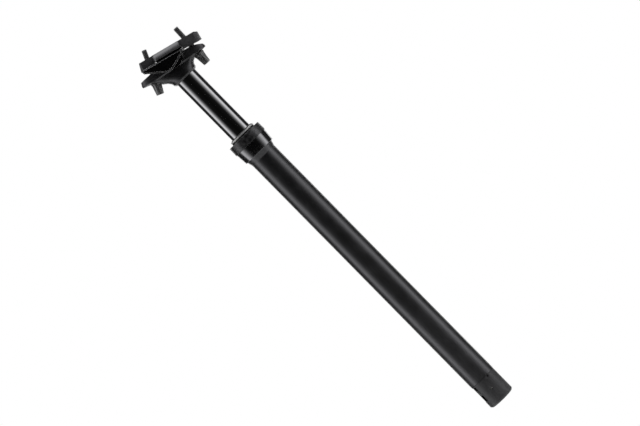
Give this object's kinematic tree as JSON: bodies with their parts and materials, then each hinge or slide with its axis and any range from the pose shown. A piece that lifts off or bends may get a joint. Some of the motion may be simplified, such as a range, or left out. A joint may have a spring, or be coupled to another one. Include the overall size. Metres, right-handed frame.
{
  "type": "suspension seatpost",
  "caption": "Telescopic seatpost: a sprung inner tube slides in an outer tube, with a two-bolt saddle clamp on top and a cable release in its foot.",
  "frame": {"origin": "centre of the foot's end face, on the post's axis", "axes": "+Z along the post axis towards the saddle, +X towards the front of the bicycle, +Y to its left"},
  "size_m": [0.0828, 0.055, 0.5285],
  "materials": {
    "tube_black": "satin black anodised",
    "stanchion_black": "polished hard-anodised black",
    "collar_gloss": "gloss black",
    "cap_matte": "matt black anodised",
    "head_black": "forged, bead-blasted, black anodised",
    "clamp_grey": "forged, dark anodised",
    "foot_grey": "machined, matt anodised",
    "bolt_black": "black oxide",
    "plain_steel": "ground",
    "lever_silver": "machined",
    "brass_keys": "machined",
    "seal_rubber": "moulded",
    "foam": "oil-soaked felt",
    "bushing_plastic": "moulded"
  },
  "bodies": {
    "outer_post": {"outer_tube": "tube_black", "bushing_housing": "collar_gloss", "seal_cap": "cap_matte", "wiper_seal": "seal_rubber", "wiper_ring": "plain_steel", "foam_ring": "foam", "upper_bushing": "bushing_plastic", "actuator_housing": "foot_grey", "cable_stop": "lever_silver", "pivot_pin": "plain_steel", "piston_rod": "plain_steel", "rod_locknut": "plain_steel", "piston": "lever_silver", "piston_seal": "seal_rubber"},
    "release_lever": {"cam_lever": "lever_silver", "cable_barrel": "lever_silver", "pinch_screw": "bolt_black"},
    "valve_rod": {"release_pin": "plain_steel", "valve_poppet": "plain_steel"},
    "inner_post": {"stanchion_tube": "stanchion_black", "lower_bushing": "bushing_plastic", "guide_keys": "brass_keys", "retaining_ring": "plain_steel", "end_plug": "lever_silver", "cartridge_tube": "lever_silver", "cartridge_gland": "lever_silver", "rod_seal": "seal_rubber", "gland_oring": "seal_rubber", "topout_bumper": "seal_rubber", "cartridge_cap": "lever_silver", "fill_valve": "brass_keys", "clamp_head": "head_black"},
    "gas_piston": {"floating_piston": "lever_silver", "floating_oring": "seal_rubber"},
    "saddle_clamp": {"lower_cradle": "clamp_grey", "upper_clamp": "clamp_grey"},
    "front_nut": {"front_barrel_nut": "plain_steel"},
    "rear_nut": {"rear_barrel_nut": "plain_steel"},
    "front_bolt": {"front_clamp_bolt": "bolt_black", "front_saddle_washer": "plain_steel"},
    "rear_bolt": {"rear_clamp_bolt": "bolt_black", "rear_saddle_washer": "plain_steel"}
  },
  "joints": [
    {"name": "height_slide", "type": "slide", "parent": "outer_post", "child": "inner_post", "axis": [0, 0, 1], "range_m": [-0.08, 0], "stiffness_N_per_m": 250, "springref_m": 0.4},
    {"name": "clamp_tilt", "type": "hinge", "parent": "inner_post", "child": "saddle_clamp", "pos_m": [0.003, 0, 0.5055], "axis": [0, 1, 0], "range_deg": [-10, 2.5]},
    {"name": "front_bolt_swing", "type": "hinge", "parent": "inner_post", "child": "front_bolt", "pos_m": [0.02688, 0, 0.4848], "axis": [0, 1, 0], "range_deg": [-1, 1]},
    {"name": "rear_bolt_swing", "type": "hinge", "parent": "inner_post", "child": "rear_bolt", "pos_m": [-0.02664, 0, 0.49452], "axis": [0, 1, 0], "range_deg": [-2, 2]},
    {"name": "front_nut_swivel", "type": "hinge", "parent": "saddle_clamp", "child": "front_nut", "pos_m": [0.02739, 0, 0.50162], "axis": [0, 1, 0], "range_deg": [-3, 11]},
    {"name": "rear_nut_swivel", "type": "hinge", "parent": "saddle_clamp", "child": "rear_nut", "pos_m": [-0.01838, 0, 0.51316], "axis": [0, 1, 0], "range_deg": [-3.2, 12.2]},
    {"name": "lever_pull", "type": "hinge", "parent": "outer_post", "child": "release_lever", "pos_m": [0, 0, 0.0172], "axis": [0, -1, 0], "range_deg": [0, 25], "stiffness_Nm_per_rad": 0.5, "springref_deg": -11.46},
    {"name": "valve_lift", "type": "slide", "parent": "outer_post", "child": "valve_rod", "axis": [0, 0, 1], "range_m": [0, 0.0013]},
    {"name": "gas_piston_slide", "type": "slide", "parent": "inner_post", "child": "gas_piston", "axis": [0, 0, 1], "range_m": [0, 0.0145]}
  ],
  "couplings": [
    {"joint": "front_bolt_swing", "follows": "clamp_tilt", "ratio": -0.0738},
    {"joint": "rear_bolt_swing", "follows": "clamp_tilt", "ratio": -0.1888},
    {"joint": "front_nut_swivel", "follows": "clamp_tilt", "ratio": -1.0738},
    {"joint": "rear_nut_swivel", "follows": "clamp_tilt", "ratio": -1.1888},
    {"joint": "valve_lift", "follows": "lever_pull", "m_per_rad": 0.0028648},
    {"joint": "gas_piston_slide", "follows": "height_slide", "ratio": -0.17728}
  ]
}
